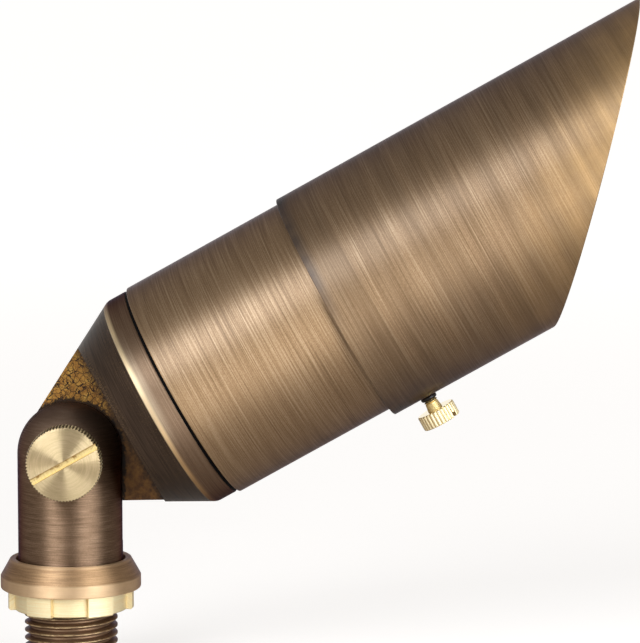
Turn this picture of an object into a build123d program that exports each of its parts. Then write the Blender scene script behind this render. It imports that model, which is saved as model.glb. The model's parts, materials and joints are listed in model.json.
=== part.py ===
from build123d import *
import math
import os

os.makedirs("parts", exist_ok=True)

# Adjustable brass landscape spotlight: a threaded stem with a half-lap knuckle carries a
# sealed lamp housing with a slip-on glare shroud. Lengths are in millimetres, angles in degrees.

# Stem and base: the origin is the centre of the thread's lower end
thread_diameter = 21.34
thread_length = 14.1
seat_thread_diameter = 21.8
wire_bore_diameter = 12.0
lock_nut_height = 4.8
lock_nut_lug_diameter = 28.8
lock_nut_notch_diameter = 26.3
lock_nut_lug_count = 6
lock_nut_lug_width_angle = 25.5
lock_nut_turn = 3.4
collar_diameter = 32.2
collar_rim_width = 1.3
collar_floor = 2.1
collar_band_height = 2.9
collar_height = 6.9
collar_edge_radius = 0.5
collar_gap = 0.55

# Knuckle
post_diameter = 24.0
post_length = 29.0
head_tilt = 29.2
lap_gap = 1.0
lap_floor_clearance = 1.2
wire_bore_roof = 3.5
ear_wire_hole_diameter = 5.0
ear_wire_hole_depth = 5.5
wire_groove_depth = 4.5
knuckle_seal_width = 2.1
knuckle_seal_inset = 0.35
knob_diameter = 17.1
knob_thickness = 4.8
knob_tooth_count = 72
knob_tooth_depth = 0.28
knob_edge_chamfer = 0.45
knob_slot_width = 1.5
knob_slot_depth = 1.2
knob_slot_angle = 29.4
knob_shoulder_diameter = 10.4
knob_shoulder_height = 2.2
knob_shank_diameter = 6.0
knob_shank_reach = 7.0
knuckle_washer_diameter = 12.0
knuckle_washer_thickness = 1.0
spot_face_depth = 1.8

# Lamp, which sets the size of the housing
lamp_diameter = 49.5
lamp_rim_length = 6.0
lamp_length = 36.0
lamp_neck_diameter = 24.0
lamp_fin_count = 16
lamp_fin_slot_width = 2.4
lamp_fin_core_diameter = 19.0
lamp_base_diameter = 17.0
lamp_base_length = 5.5
lamp_cup_depth = 8.5
lamp_cup_wall = 2.3
lamp_pin_diameter = 1.5
lamp_pin_spacing = 5.33
lamp_pin_length = 7.0
led_board_thickness = 1.6
led_chip_diameter = 10.0
led_chip_thickness = 0.8
optic_thickness = 5.8
optic_hollow_depth = 3.4
lamp_front_gap = 1.3

# Housing
lamp_clearance = 0.45
barrel_wall = 1.3
barrel_rear = 29.9
barrel_length = 64.0
barrel_lip_width = 2.2
barrel_lip_thickness = 1.6
barrel_edge_chamfer = 0.3
lens_thickness = 3.0
lens_crown = 2.3
lens_gasket_thickness = 1.0
lens_ring_thickness = 2.0
lens_ring_width = 1.9
lens_ring_notch = 3.0
seam_gap = 0.6
seam_recess = 0.65
band_step = 0.45
band_length = 4.7
band_edge_radius = 3.0
cone_half_angle = 28.2
shoulder_clearance = 1.5
shoulder_draft = 7.0
spigot_length = 9.0
spigot_wall = 2.45
cap_floor_depth = 7.3
lead_pocket_diameter = 18.0
lead_pocket_depth = 5.0
wire_hole_diameter = 4.6
wire_hole_offset = 3.8
wire_crossing_overlap = 0.8

# Lamp holder
bracket_length = 36.0
bracket_width = 14.0
bracket_thickness = 1.2
bracket_hole_diameter = 13.0
bracket_screw_spacing = 26.0
bracket_screw_diameter = 2.8
bracket_screw_depth = 4.0
bracket_screw_head_diameter = 5.0
bracket_screw_head_height = 1.6
socket_diameter = 19.0
lead_diameter = 1.8
lead_spacing = 2.1
lead_end_gap = 1.5
wire_seal_length = 4.0

# Glare shroud and its thumb screw
shroud_wall = 1.0
shroud_slip_clearance = 0.4
shroud_top_gap = 0.1
shroud_overlap = 24.4
shroud_short_length = 41.1
shroud_cut_angle = 43.3
shroud_edge_chamfer = 0.25
shroud_screw_setback = 8.4
shroud_screw_shank_diameter = 2.4
shroud_screw_tip_gap = 0.2
shroud_screw_shoulder_diameter = 2.9
shroud_screw_shoulder_height = 0.7
shroud_screw_neck_diameter = 3.0
shroud_screw_neck_height = 1.74
shroud_screw_neck_flare = 8.2
shroud_screw_head_diameter = 9.0
shroud_screw_head_height = 3.4
shroud_screw_flute_count = 30
shroud_screw_flute_diameter = 0.5
shroud_screw_slot_width = 0.9
shroud_screw_slot_depth = 1.0
shroud_screw_slot_angle = 30.0
o_ring_diameter = 3.9
o_ring_thickness = 1.0
o_ring_edge_radius = 0.25
o_ring_gap = 0.06

# Clearances between pieces
thread_clearance = 0.1
seat_clearance = 0.15
socket_gap = 0.3

# Heights on the post
nut_bottom = thread_length
collar_bottom = nut_bottom + lock_nut_height
collar_top = collar_bottom + collar_height
collar_break = collar_bottom + collar_band_height
post_bottom = collar_bottom + collar_floor
pivot_height = post_bottom + post_length
post_radius = post_diameter / 2
collar_bore_radius = post_radius + collar_gap
collar_top_radius = collar_bore_radius + collar_rim_width

# Radii and stations along the body, counted from the knuckle's pivot
barrel_bore_radius = lamp_diameter / 2 + lamp_clearance
barrel_radius = barrel_bore_radius + barrel_wall
barrel_front = barrel_rear + barrel_length
cap_front = barrel_rear - seam_gap
band_radius = barrel_radius - band_step
band_rear = cap_front - band_length
cone_apex = band_radius / math.tan(math.radians(cone_half_angle)) - band_rear
tab_radius = cone_apex * math.sin(math.radians(cone_half_angle))
shoulder_station = post_radius + shoulder_clearance
spigot_radius = barrel_bore_radius - seat_clearance
spigot_end = cap_front + spigot_length
cavity_radius = spigot_radius - spigot_wall
cavity_floor = cap_front - cap_floor_depth
lead_pocket_floor = cavity_floor - lead_pocket_depth
tail_drop = (post_radius + cone_apex) * math.tan(math.radians(cone_half_angle))
lap_floor = pivot_height - tail_drop - lap_floor_clearance
wire_bore_top = lap_floor - wire_bore_roof

# Half-lap face: seal, wire groove and wire crossing lie around the thumb screw
knuckle_seal_outer = tab_radius - knuckle_seal_inset
knuckle_seal_inner = knuckle_seal_outer - knuckle_seal_width
wire_groove_outer = knuckle_seal_inner - knuckle_seal_inset
screw_hole_radius = knob_shank_diameter / 2 + seat_clearance
wire_groove_inner = screw_hole_radius + wire_crossing_overlap
wire_crossing = (wire_groove_inner + wire_groove_outer) / 2

# Thumb screw stations, counted from the pivot towards the knob
spot_face = post_radius - spot_face_depth
knob_shoulder_start = spot_face + knuckle_washer_thickness
knob_start = knob_shoulder_start + knob_shoulder_height
knob_face = knob_start + knob_thickness
knob_radius = knob_diameter / 2

# Front of the housing and lamp stations
lip_rear = barrel_front - barrel_lip_thickness
lens_front = lip_rear - lens_gasket_thickness
lens_rear = lens_front - lens_thickness
lens_ring_rear = lens_rear - lens_ring_thickness
lamp_front = lens_ring_rear - lamp_front_gap
lamp_rim_rear = lamp_front - lamp_rim_length
lamp_body_rear = lamp_front - lamp_length
lamp_base_rear = lamp_body_rear - lamp_base_length
led_board_rear = lamp_front - lamp_cup_depth
optic_rear = led_board_rear + led_board_thickness + led_chip_thickness
bracket_front = cavity_floor + bracket_thickness
socket_front = lamp_base_rear - socket_gap
socket_pin_bottom = lamp_base_rear - lamp_pin_length - socket_gap

# Shroud stations: its screw draws it down, so its axis lies a little under the barrel's
shroud_drop = shroud_slip_clearance - shroud_top_gap
shroud_bore_radius = barrel_radius + shroud_slip_clearance
shroud_radius = shroud_bore_radius + shroud_wall
shroud_rear = barrel_front - shroud_overlap
shroud_lean = shroud_radius * math.tan(math.radians(shroud_cut_angle))
shroud_mouth = shroud_rear + shroud_short_length + shroud_lean
shroud_tip = shroud_mouth + shroud_lean
shroud_screw_station = shroud_rear + shroud_screw_setback

# Reference frames
tilt = math.radians(head_tilt)
pivot = Vector(0, 0, pivot_height)
body_direction = Vector(math.cos(tilt), 0, math.sin(tilt))
across_direction = Vector(-math.sin(tilt), 0, math.cos(tilt))
body_axis = Axis(pivot, body_direction)
side_plane = Plane(origin=pivot, x_dir=body_direction, z_dir=(0, -1, 0))
cross_plane = Plane(origin=pivot, x_dir=(0, 1, 0), z_dir=body_direction)
plan_plane = Plane(origin=pivot, x_dir=body_direction, z_dir=across_direction)
knuckle_plane = Plane(origin=pivot, x_dir=(1, 0, 0), z_dir=(0, -1, 0))
knob_profile_plane = Plane(origin=pivot, x_dir=(1, 0, 0), z_dir=(0, 0, -1))
shroud_centre = pivot - across_direction * shroud_drop
shroud_plane = Plane(origin=shroud_centre, x_dir=(0, 1, 0), z_dir=body_direction)
shroud_screw_plane = Plane(
    origin=shroud_centre + body_direction * shroud_screw_station,
    x_dir=body_direction,
    z_dir=across_direction * -1,
)
cut_angle = math.radians(shroud_cut_angle)
mouth_direction = body_direction * math.cos(cut_angle) - across_direction * math.sin(cut_angle)
mouth_plane = Plane(origin=shroud_centre + body_direction * shroud_mouth, z_dir=mouth_direction)


def toothed_outline(radius, depth, count):
    """Corner points of a straight knurl: sharp teeth of the given depth around a circle."""
    step = math.pi / count
    corners = []
    for index in range(2 * count):
        reach = radius - depth * (index % 2)
        corners.append((reach * math.cos(step * index), reach * math.sin(step * index)))
    return corners


# Knuckle post: threaded stem, round post with a domed top, half cut away for the lap
with BuildPart() as knuckle_post:
    with BuildSketch(Plane.XZ):
        with BuildLine():
            Polyline(
                (0, pivot_height + post_radius),
                (0, 0),
                (thread_diameter / 2, 0),
                (thread_diameter / 2, thread_length),
                (seat_thread_diameter / 2, thread_length),
                (seat_thread_diameter / 2, post_bottom),
                (post_radius, post_bottom),
                (post_radius, pivot_height),
            )
            CenterArc((0, pivot_height), post_radius, 0, 90)
        make_face()
    revolve(axis=Axis.Z)
    with BuildSketch(Plane.XY.offset(lap_floor)):
        with Locations((0, post_radius - lap_gap / 2)):
            Rectangle(2 * post_diameter, post_diameter)
    extrude(amount=pivot_height + post_diameter - lap_floor, mode=Mode.SUBTRACT)
    with BuildSketch(knuckle_plane.offset(lap_gap / 2)):
        Circle(wire_groove_outer)
        Circle(wire_groove_inner, mode=Mode.SUBTRACT)
    extrude(amount=wire_groove_depth, mode=Mode.SUBTRACT)
    with BuildSketch(knuckle_plane):
        Circle(screw_hole_radius)
    extrude(amount=post_diameter, mode=Mode.SUBTRACT)
    with BuildSketch(knuckle_plane.offset(spot_face)):
        Circle(knuckle_washer_diameter / 2 + seat_clearance)
    extrude(amount=post_diameter, mode=Mode.SUBTRACT)
    with BuildSketch(Plane.XY):
        Circle(wire_bore_diameter / 2)
    extrude(amount=wire_bore_top, mode=Mode.SUBTRACT)
    with BuildSketch(Plane.XY.offset(wire_bore_top - wire_bore_roof)):
        with Locations((0, -ear_wire_hole_depth)):
            Circle(ear_wire_hole_diameter / 2)
    extrude(amount=pivot_height - wire_crossing - wire_bore_top + wire_bore_roof, mode=Mode.SUBTRACT)
knuckle_post.part.label = "knuckle_post"
export_step(knuckle_post.part, "parts/knuckle_post.step")

# Base collar: a coned ring that hides the post's foot and is clamped by the lock nut
with BuildPart() as base_collar:
    with BuildSketch(Plane.XZ) as collar_profile:
        with BuildLine():
            Polyline(
                (seat_thread_diameter / 2 + seat_clearance, collar_bottom),
                (collar_diameter / 2, collar_bottom),
                (collar_diameter / 2, collar_break),
                (collar_top_radius, collar_top),
                (collar_bore_radius, collar_top),
                (collar_bore_radius, post_bottom),
                (seat_thread_diameter / 2 + seat_clearance, post_bottom),
                close=True,
            )
        make_face()
        outer_corners = collar_profile.vertices().sort_by(Axis.X)[-2:]
        top_corner = collar_profile.vertices().sort_by_distance((collar_top_radius, collar_top))[0]
        fillet([*outer_corners, top_corner], collar_edge_radius)
    revolve(axis=Axis.Z)
base_collar.part.label = "base_collar"
export_step(base_collar.part, "parts/base_collar.step")

# Lock nut with wrench lugs
with BuildPart() as lock_nut:
    notch_half_angle = math.pi / lock_nut_lug_count - math.radians(lock_nut_lug_width_angle) / 2
    notch_reach = lock_nut_lug_diameter
    with BuildSketch(Plane.XY.offset(nut_bottom)):
        Circle(lock_nut_lug_diameter / 2)
        with PolarLocations(0, lock_nut_lug_count, start_angle=lock_nut_turn + 180 / lock_nut_lug_count):
            with BuildLine():
                Polyline(
                    (0, 0),
                    (notch_reach * math.cos(notch_half_angle), -notch_reach * math.sin(notch_half_angle)),
                    (notch_reach * math.cos(notch_half_angle), notch_reach * math.sin(notch_half_angle)),
                    close=True,
                )
            make_face(mode=Mode.SUBTRACT)
        Circle(lock_nut_notch_diameter / 2)
        Circle(seat_thread_diameter / 2 + thread_clearance, mode=Mode.SUBTRACT)
    extrude(amount=lock_nut_height)
lock_nut.part.label = "lock_nut"
export_step(lock_nut.part, "parts/lock_nut.step")

# Knuckle thumb screw: knurled slotted head, shoulder and shank
with BuildPart() as knuckle_thumb_screw:
    with BuildSketch(knuckle_plane.offset(-knob_shank_reach)):
        Circle(knob_shank_diameter / 2)
    extrude(amount=knob_shank_reach + knob_shoulder_start)
    with BuildSketch(knuckle_plane.offset(knob_shoulder_start)):
        Circle(knob_shoulder_diameter / 2)
    extrude(amount=knob_shoulder_height)
    with BuildSketch(knuckle_plane.offset(knob_start)):
        with BuildLine():
            Polyline(*toothed_outline(knob_radius, knob_tooth_depth, knob_tooth_count), close=True)
        make_face()
    extrude(amount=knob_thickness)
    with BuildSketch(knob_profile_plane):
        with BuildLine():
            Polyline(
                (0, knob_face),
                (0, -knob_shank_reach),
                (knob_radius, -knob_shank_reach),
                (knob_radius, knob_face - knob_edge_chamfer),
                (knob_radius - knob_edge_chamfer, knob_face),
                close=True,
            )
        make_face()
    revolve(axis=Axis(pivot, (0, -1, 0)), mode=Mode.INTERSECT)
    with BuildSketch(knuckle_plane.offset(knob_face)):
        Rectangle(2 * knob_diameter, knob_slot_width, rotation=knob_slot_angle)
    extrude(amount=-knob_slot_depth, mode=Mode.SUBTRACT)
knuckle_thumb_screw.part.label = "knuckle_thumb_screw"
export_step(knuckle_thumb_screw.part, "parts/knuckle_thumb_screw.step")

# Washer under the thumb screw
with BuildPart() as knuckle_washer:
    with BuildSketch(knuckle_plane.offset(spot_face)):
        Circle(knuckle_washer_diameter / 2)
        Circle(screw_hole_radius, mode=Mode.SUBTRACT)
    extrude(amount=knuckle_washer_thickness)
knuckle_washer.part.label = "knuckle_washer"
export_step(knuckle_washer.part, "parts/knuckle_washer.step")

# Flat seal between the two halves of the lap
with BuildPart() as knuckle_seal:
    with BuildSketch(knuckle_plane.offset(-lap_gap / 2)):
        Circle(knuckle_seal_outer)
        Circle(knuckle_seal_inner, mode=Mode.SUBTRACT)
    extrude(amount=lap_gap)
knuckle_seal.part.label = "knuckle_seal"
export_step(knuckle_seal.part, "parts/knuckle_seal.step")

# Rear cap: banded cone with a rounded tail, milled to half its thickness at the knuckle
with BuildPart() as rear_cap:
    with BuildSketch(side_plane) as cap_profile:
        with BuildLine():
            CenterArc((0, 0), tab_radius, 180, cone_half_angle - 90)
            Polyline(
                (
                    -tab_radius * math.sin(math.radians(cone_half_angle)),
                    tab_radius * math.cos(math.radians(cone_half_angle)),
                ),
                (band_rear, band_radius),
                (cap_front, band_radius),
                (cap_front, spigot_radius),
                (spigot_end, spigot_radius),
                (spigot_end, cavity_radius),
                (cavity_floor, cavity_radius),
                (cavity_floor, lead_pocket_diameter / 2),
                (lead_pocket_floor, lead_pocket_diameter / 2),
                (lead_pocket_floor, 0),
                (-tab_radius, 0),
            )
        make_face()
        fillet(cap_profile.vertices().sort_by_distance((band_rear, band_radius))[0], band_edge_radius)
        chamfer(cap_profile.vertices().sort_by_distance((cap_front, band_radius))[0], barrel_edge_chamfer)
    revolve(axis=body_axis)
    draft_run = (band_radius + lap_gap / 2) * math.tan(math.radians(shoulder_draft))
    with BuildSketch(plan_plane):
        with BuildLine():
            Polyline(
                (-2 * tab_radius, lap_gap / 2),
                (shoulder_station, lap_gap / 2),
                (shoulder_station + draft_run, -band_radius),
                (-2 * tab_radius, -band_radius),
                close=True,
            )
        make_face()
    extrude(amount=band_radius, both=True, mode=Mode.SUBTRACT)
    with BuildSketch(side_plane.offset(-lap_gap / 2)):
        Circle(screw_hole_radius)
    extrude(amount=-knob_shank_reach - lap_gap, mode=Mode.SUBTRACT)
    with BuildSketch(side_plane.offset(-lap_gap / 2)):
        with Locations((wire_crossing, 0)):
            Circle(wire_hole_diameter / 2)
    extrude(amount=-wire_hole_offset - wire_hole_diameter / 2, mode=Mode.SUBTRACT)
    with BuildSketch(cross_plane.offset(lead_pocket_floor)):
        with Locations((wire_hole_offset + lap_gap / 2, 0)):
            Circle(wire_hole_diameter / 2)
    extrude(amount=wire_crossing - lead_pocket_floor, mode=Mode.SUBTRACT)
    with BuildSketch(cross_plane.offset(cavity_floor)):
        with GridLocations(0, bracket_screw_spacing, 1, 2):
            Circle(bracket_screw_diameter / 2 + thread_clearance)
    extrude(amount=-bracket_screw_depth - socket_gap, mode=Mode.SUBTRACT)
rear_cap.part.label = "rear_cap"
export_step(rear_cap.part, "parts/rear_cap.step")

# Gasket in the seam between cap and barrel, set back from the surface
with BuildPart() as cap_gasket:
    with BuildSketch(cross_plane.offset(cap_front)):
        Circle(barrel_radius - seam_recess)
        Circle(spigot_radius + thread_clearance, mode=Mode.SUBTRACT)
    extrude(amount=seam_gap)
cap_gasket.part.label = "cap_gasket"
export_step(cap_gasket.part, "parts/cap_gasket.step")

# Barrel: the lamp housing's tube, with a lip at its front that holds the lens
with BuildPart() as barrel:
    with BuildSketch(side_plane) as barrel_profile:
        with BuildLine():
            Polyline(
                (barrel_rear, barrel_bore_radius),
                (barrel_rear, barrel_radius),
                (barrel_front, barrel_radius),
                (barrel_front, barrel_bore_radius - barrel_lip_width),
                (lip_rear, barrel_bore_radius - barrel_lip_width),
                (lip_rear, barrel_bore_radius),
                close=True,
            )
        make_face()
        chamfer(barrel_profile.vertices().sort_by(Axis.Y)[-2:], barrel_edge_chamfer)
    revolve(axis=body_axis)
barrel.part.label = "barrel"
export_step(barrel.part, "parts/barrel.step")

# Lens gasket behind the barrel's lip
with BuildPart() as lens_gasket:
    with BuildSketch(cross_plane.offset(lens_front)):
        Circle(barrel_bore_radius - seat_clearance)
        Circle(barrel_bore_radius - barrel_lip_width + seat_clearance, mode=Mode.SUBTRACT)
    extrude(amount=lens_gasket_thickness)
lens_gasket.part.label = "lens_gasket"
export_step(lens_gasket.part, "parts/lens_gasket.step")

# Lens: round glass with a crowned front that stands in the gasket and the lip
with BuildPart() as lens:
    crown_radius = barrel_bore_radius - barrel_lip_width - seat_clearance
    with BuildSketch(side_plane):
        with BuildLine():
            Polyline(
                (lens_front + lens_crown, 0),
                (lens_rear, 0),
                (lens_rear, barrel_bore_radius - seat_clearance),
                (lens_front, barrel_bore_radius - seat_clearance),
                (lens_front, crown_radius),
            )
            crown_reach = (crown_radius**2 + lens_crown**2) / (2 * lens_crown)
            RadiusArc((lens_front, crown_radius), (lens_front + lens_crown, 0), crown_reach)
        make_face()
    revolve(axis=body_axis)
lens.part.label = "lens"
export_step(lens.part, "parts/lens.step")

# Threaded ring that holds the lens against its gasket, with two spanner notches
with BuildPart() as lens_retaining_ring:
    with BuildSketch(cross_plane.offset(lens_ring_rear)):
        Circle(barrel_bore_radius - seat_clearance)
        Circle(barrel_bore_radius - lens_ring_width, mode=Mode.SUBTRACT)
    extrude(amount=lens_ring_thickness)
    with BuildSketch(cross_plane.offset(lens_ring_rear)):
        Rectangle(2 * barrel_bore_radius - lens_ring_width, lens_ring_notch)
    extrude(amount=lens_ring_thickness / 2, mode=Mode.SUBTRACT)
lens_retaining_ring.part.label = "lens_retaining_ring"
export_step(lens_retaining_ring.part, "parts/lens_retaining_ring.step")

# Glare shroud: a tube cut off on a slant, with a tapped hole for its thumb screw
with BuildPart() as shroud:
    with BuildSketch(shroud_plane.offset(shroud_rear)):
        Circle(shroud_radius)
        Circle(shroud_bore_radius, mode=Mode.SUBTRACT)
    extrude(amount=shroud_tip - shroud_rear)
    split(bisect_by=mouth_plane, keep=Keep.BOTTOM)
    mouth_face = shroud.faces().sort_by(Axis(pivot, mouth_direction))[-1]
    rear_face = shroud.faces().sort_by(body_axis)[0]
    chamfer(mouth_face.edges(), shroud_edge_chamfer)
    chamfer(rear_face.edges(), shroud_edge_chamfer)
    with BuildSketch(shroud_screw_plane):
        Circle(shroud_screw_shank_diameter / 2 + thread_clearance)
    extrude(amount=2 * shroud_radius, mode=Mode.SUBTRACT)
shroud.part.label = "shroud"
export_step(shroud.part, "parts/shroud.step")

# Shroud thumb screw: shank, shoulder, flared neck and fluted slotted head
with BuildPart() as shroud_thumb_screw:
    shoulder_start = shroud_radius + o_ring_thickness + o_ring_gap
    shank_tip = barrel_radius - shroud_drop + shroud_screw_tip_gap
    neck_start = shoulder_start + shroud_screw_shoulder_height
    head_start = neck_start + shroud_screw_neck_height
    with BuildSketch(shroud_screw_plane.offset(shank_tip)):
        Circle(shroud_screw_shank_diameter / 2)
    extrude(amount=shoulder_start - shank_tip)
    with BuildSketch(shroud_screw_plane.offset(shoulder_start)):
        Circle(shroud_screw_shoulder_diameter / 2)
    extrude(amount=shroud_screw_shoulder_height)
    with BuildSketch(shroud_screw_plane.offset(neck_start)):
        Circle(shroud_screw_neck_diameter / 2)
    extrude(amount=shroud_screw_neck_height, taper=-shroud_screw_neck_flare)
    with BuildSketch(shroud_screw_plane.offset(head_start)):
        Circle(shroud_screw_head_diameter / 2)
        with PolarLocations(shroud_screw_head_diameter / 2, shroud_screw_flute_count):
            Circle(shroud_screw_flute_diameter / 2, mode=Mode.SUBTRACT)
    extrude(amount=shroud_screw_head_height)
    with BuildSketch(shroud_screw_plane.offset(head_start + shroud_screw_head_height)):
        Rectangle(2 * shroud_screw_head_diameter, shroud_screw_slot_width, rotation=shroud_screw_slot_angle)
    extrude(amount=-shroud_screw_slot_depth, mode=Mode.SUBTRACT)
shroud_thumb_screw.part.label = "shroud_thumb_screw"
export_step(shroud_thumb_screw.part, "parts/shroud_thumb_screw.step")

# O-ring that seals and locks the shroud's thumb screw
with BuildPart() as shroud_screw_o_ring:
    with BuildSketch(shroud_screw_plane.offset(shroud_radius)):
        Circle(o_ring_diameter / 2)
        Circle(shroud_screw_shank_diameter / 2 + thread_clearance, mode=Mode.SUBTRACT)
    extrude(amount=o_ring_thickness)
    fillet(shroud_screw_o_ring.edges().filter_by(GeomType.CIRCLE), o_ring_edge_radius)
shroud_screw_o_ring.part.label = "shroud_screw_o_ring"
export_step(shroud_screw_o_ring.part, "parts/shroud_screw_o_ring.step")

# Lamp body: finned bowl with a cup for the light source and a narrow base
with BuildPart() as lamp_heat_sink:
    lamp_cup_radius = lamp_diameter / 2 - lamp_cup_wall
    with BuildSketch(side_plane):
        with BuildLine():
            Polyline(
                (lamp_body_rear, 0),
                (lamp_body_rear, lamp_neck_diameter / 2),
                (lamp_rim_rear, lamp_diameter / 2),
                (lamp_front, lamp_diameter / 2),
                (lamp_front, lamp_cup_radius),
                (led_board_rear, lamp_cup_radius),
                (led_board_rear, 0),
                close=True,
            )
        make_face()
    revolve(axis=body_axis)
    with BuildSketch(cross_plane.offset(lamp_body_rear)):
        fin_slot_length = lamp_diameter
        with PolarLocations((lamp_fin_core_diameter + fin_slot_length) / 2, lamp_fin_count):
            Rectangle(fin_slot_length, lamp_fin_slot_width)
    extrude(amount=led_board_rear - lamp_cup_wall - lamp_body_rear, mode=Mode.SUBTRACT)
lamp_heat_sink.part.label = "lamp_heat_sink"
export_step(lamp_heat_sink.part, "parts/lamp_heat_sink.step")

# Insulating base of the lamp
with BuildPart() as lamp_base:
    with BuildSketch(cross_plane.offset(lamp_base_rear)):
        Circle(lamp_base_diameter / 2)
    extrude(amount=lamp_base_length)
lamp_base.part.label = "lamp_base"
export_step(lamp_base.part, "parts/lamp_base.step")

# Two contact pins of the lamp
with BuildPart() as lamp_pins:
    with BuildSketch(cross_plane.offset(lamp_base_rear)):
        with GridLocations(lamp_pin_spacing, 0, 2, 1):
            Circle(lamp_pin_diameter / 2)
    extrude(amount=-lamp_pin_length)
lamp_pins.part.label = "lamp_pins"
export_step(lamp_pins.part, "parts/lamp_pins.step")

# Round board with the light-emitting chip on it
with BuildPart() as lamp_led_board:
    with BuildSketch(cross_plane.offset(led_board_rear)):
        Circle(lamp_cup_radius - seat_clearance)
    extrude(amount=led_board_thickness)
    with BuildSketch(cross_plane.offset(led_board_rear + led_board_thickness)):
        Circle(led_chip_diameter / 2)
    extrude(amount=led_chip_thickness)
lamp_led_board.part.label = "lamp_led_board"
export_step(lamp_led_board.part, "parts/lamp_led_board.step")

# Collimating optic over the chip
with BuildPart() as lamp_optic:
    with BuildSketch(side_plane):
        with BuildLine():
            Polyline(
                (optic_rear + optic_hollow_depth, 0),
                (optic_rear, led_chip_diameter / 2),
                (optic_rear, lamp_cup_radius - lamp_cup_wall),
                (optic_rear + optic_thickness / 2, lamp_cup_radius - seat_clearance),
                (optic_rear + optic_thickness, lamp_cup_radius - seat_clearance),
                (optic_rear + optic_thickness, 0),
                close=True,
            )
        make_face()
    revolve(axis=body_axis)
lamp_optic.part.label = "lamp_optic"
export_step(lamp_optic.part, "parts/lamp_optic.step")

# Lamp socket with two contact holes
with BuildPart() as lamp_socket:
    with BuildSketch(cross_plane.offset(bracket_front)):
        Circle(socket_diameter / 2)
    extrude(amount=socket_front - bracket_front)
    with BuildSketch(cross_plane.offset(socket_front)):
        with GridLocations(lamp_pin_spacing, 0, 2, 1):
            Circle(lamp_pin_diameter / 2 + seat_clearance)
    extrude(amount=socket_pin_bottom - socket_front, mode=Mode.SUBTRACT)
lamp_socket.part.label = "lamp_socket"
export_step(lamp_socket.part, "parts/lamp_socket.step")

# Bracket strap that carries the socket on the cap's floor
with BuildPart() as socket_bracket:
    with BuildSketch(cross_plane.offset(cavity_floor)):
        SlotOverall(bracket_length, bracket_width, rotation=90)
        Circle(bracket_hole_diameter / 2, mode=Mode.SUBTRACT)
        with GridLocations(0, bracket_screw_spacing, 1, 2):
            Circle(bracket_screw_diameter / 2 + thread_clearance, mode=Mode.SUBTRACT)
    extrude(amount=bracket_thickness)
socket_bracket.part.label = "socket_bracket"
export_step(socket_bracket.part, "parts/socket_bracket.step")

# Two screws that hold the bracket
with BuildPart() as bracket_screws:
    with BuildSketch(cross_plane.offset(bracket_front)):
        with GridLocations(0, bracket_screw_spacing, 1, 2):
            Circle(bracket_screw_diameter / 2)
    extrude(amount=-bracket_thickness - bracket_screw_depth)
    with BuildSketch(cross_plane.offset(bracket_front)):
        with GridLocations(0, bracket_screw_spacing, 1, 2):
            Circle(bracket_screw_head_diameter / 2)
    extrude(amount=bracket_screw_head_height)
bracket_screws.part.label = "bracket_screws"
export_step(bracket_screws.part, "parts/bracket_screws.step")

# Two leads from the socket into the cap's wire hole
with BuildPart() as socket_leads:
    with BuildSketch(cross_plane.offset(bracket_front)):
        with Locations((wire_hole_offset + lap_gap / 2, 0)):
            with GridLocations(0, lead_spacing, 1, 2):
                Circle(lead_diameter / 2)
    extrude(amount=wire_crossing + lead_end_gap - bracket_front)
socket_leads.part.label = "socket_leads"
export_step(socket_leads.part, "parts/socket_leads.step")

# Rubber plug that seals the leads in the wire hole
with BuildPart() as wire_seal:
    with BuildSketch(cross_plane.offset(lead_pocket_floor)):
        with Locations((wire_hole_offset + lap_gap / 2, 0)):
            Circle(wire_hole_diameter / 2 - thread_clearance)
            with GridLocations(0, lead_spacing, 1, 2):
                Circle(lead_diameter / 2 + thread_clearance / 2, mode=Mode.SUBTRACT)
    extrude(amount=-wire_seal_length)
wire_seal.part.label = "wire_seal"
export_step(wire_seal.part, "parts/wire_seal.step")
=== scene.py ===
"""Looks of an adjustable brass landscape spotlight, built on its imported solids. Lengths are in metres."""
import json
import math

import bmesh
import bpy
from mathutils import Matrix, Vector


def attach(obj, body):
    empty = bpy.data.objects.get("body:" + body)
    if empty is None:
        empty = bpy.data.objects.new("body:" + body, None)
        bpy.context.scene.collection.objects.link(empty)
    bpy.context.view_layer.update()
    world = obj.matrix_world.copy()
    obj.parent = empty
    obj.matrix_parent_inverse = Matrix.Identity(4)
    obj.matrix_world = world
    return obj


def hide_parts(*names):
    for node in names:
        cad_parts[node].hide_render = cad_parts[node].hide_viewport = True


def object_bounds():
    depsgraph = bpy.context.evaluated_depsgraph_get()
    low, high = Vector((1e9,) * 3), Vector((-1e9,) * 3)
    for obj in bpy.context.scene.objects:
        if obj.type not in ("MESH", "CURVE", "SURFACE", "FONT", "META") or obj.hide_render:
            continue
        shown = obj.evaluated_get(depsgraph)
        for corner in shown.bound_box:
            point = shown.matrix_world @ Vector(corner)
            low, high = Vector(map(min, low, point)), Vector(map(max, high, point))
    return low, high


MM = 0.001

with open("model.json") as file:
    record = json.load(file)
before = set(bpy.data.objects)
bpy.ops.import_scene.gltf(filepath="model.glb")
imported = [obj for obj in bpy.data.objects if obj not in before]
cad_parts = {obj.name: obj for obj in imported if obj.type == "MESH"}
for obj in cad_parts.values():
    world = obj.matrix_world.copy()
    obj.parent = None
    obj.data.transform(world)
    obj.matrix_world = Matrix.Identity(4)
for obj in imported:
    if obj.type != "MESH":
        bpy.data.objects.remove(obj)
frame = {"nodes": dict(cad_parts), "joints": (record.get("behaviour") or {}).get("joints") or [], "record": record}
cad_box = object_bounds()
nodes = frame["nodes"]
joints = {joint["name"]: joint for joint in frame["joints"]}
mounts = {mount["name"]: mount for mount in frame["record"]["mounts"]}


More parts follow.
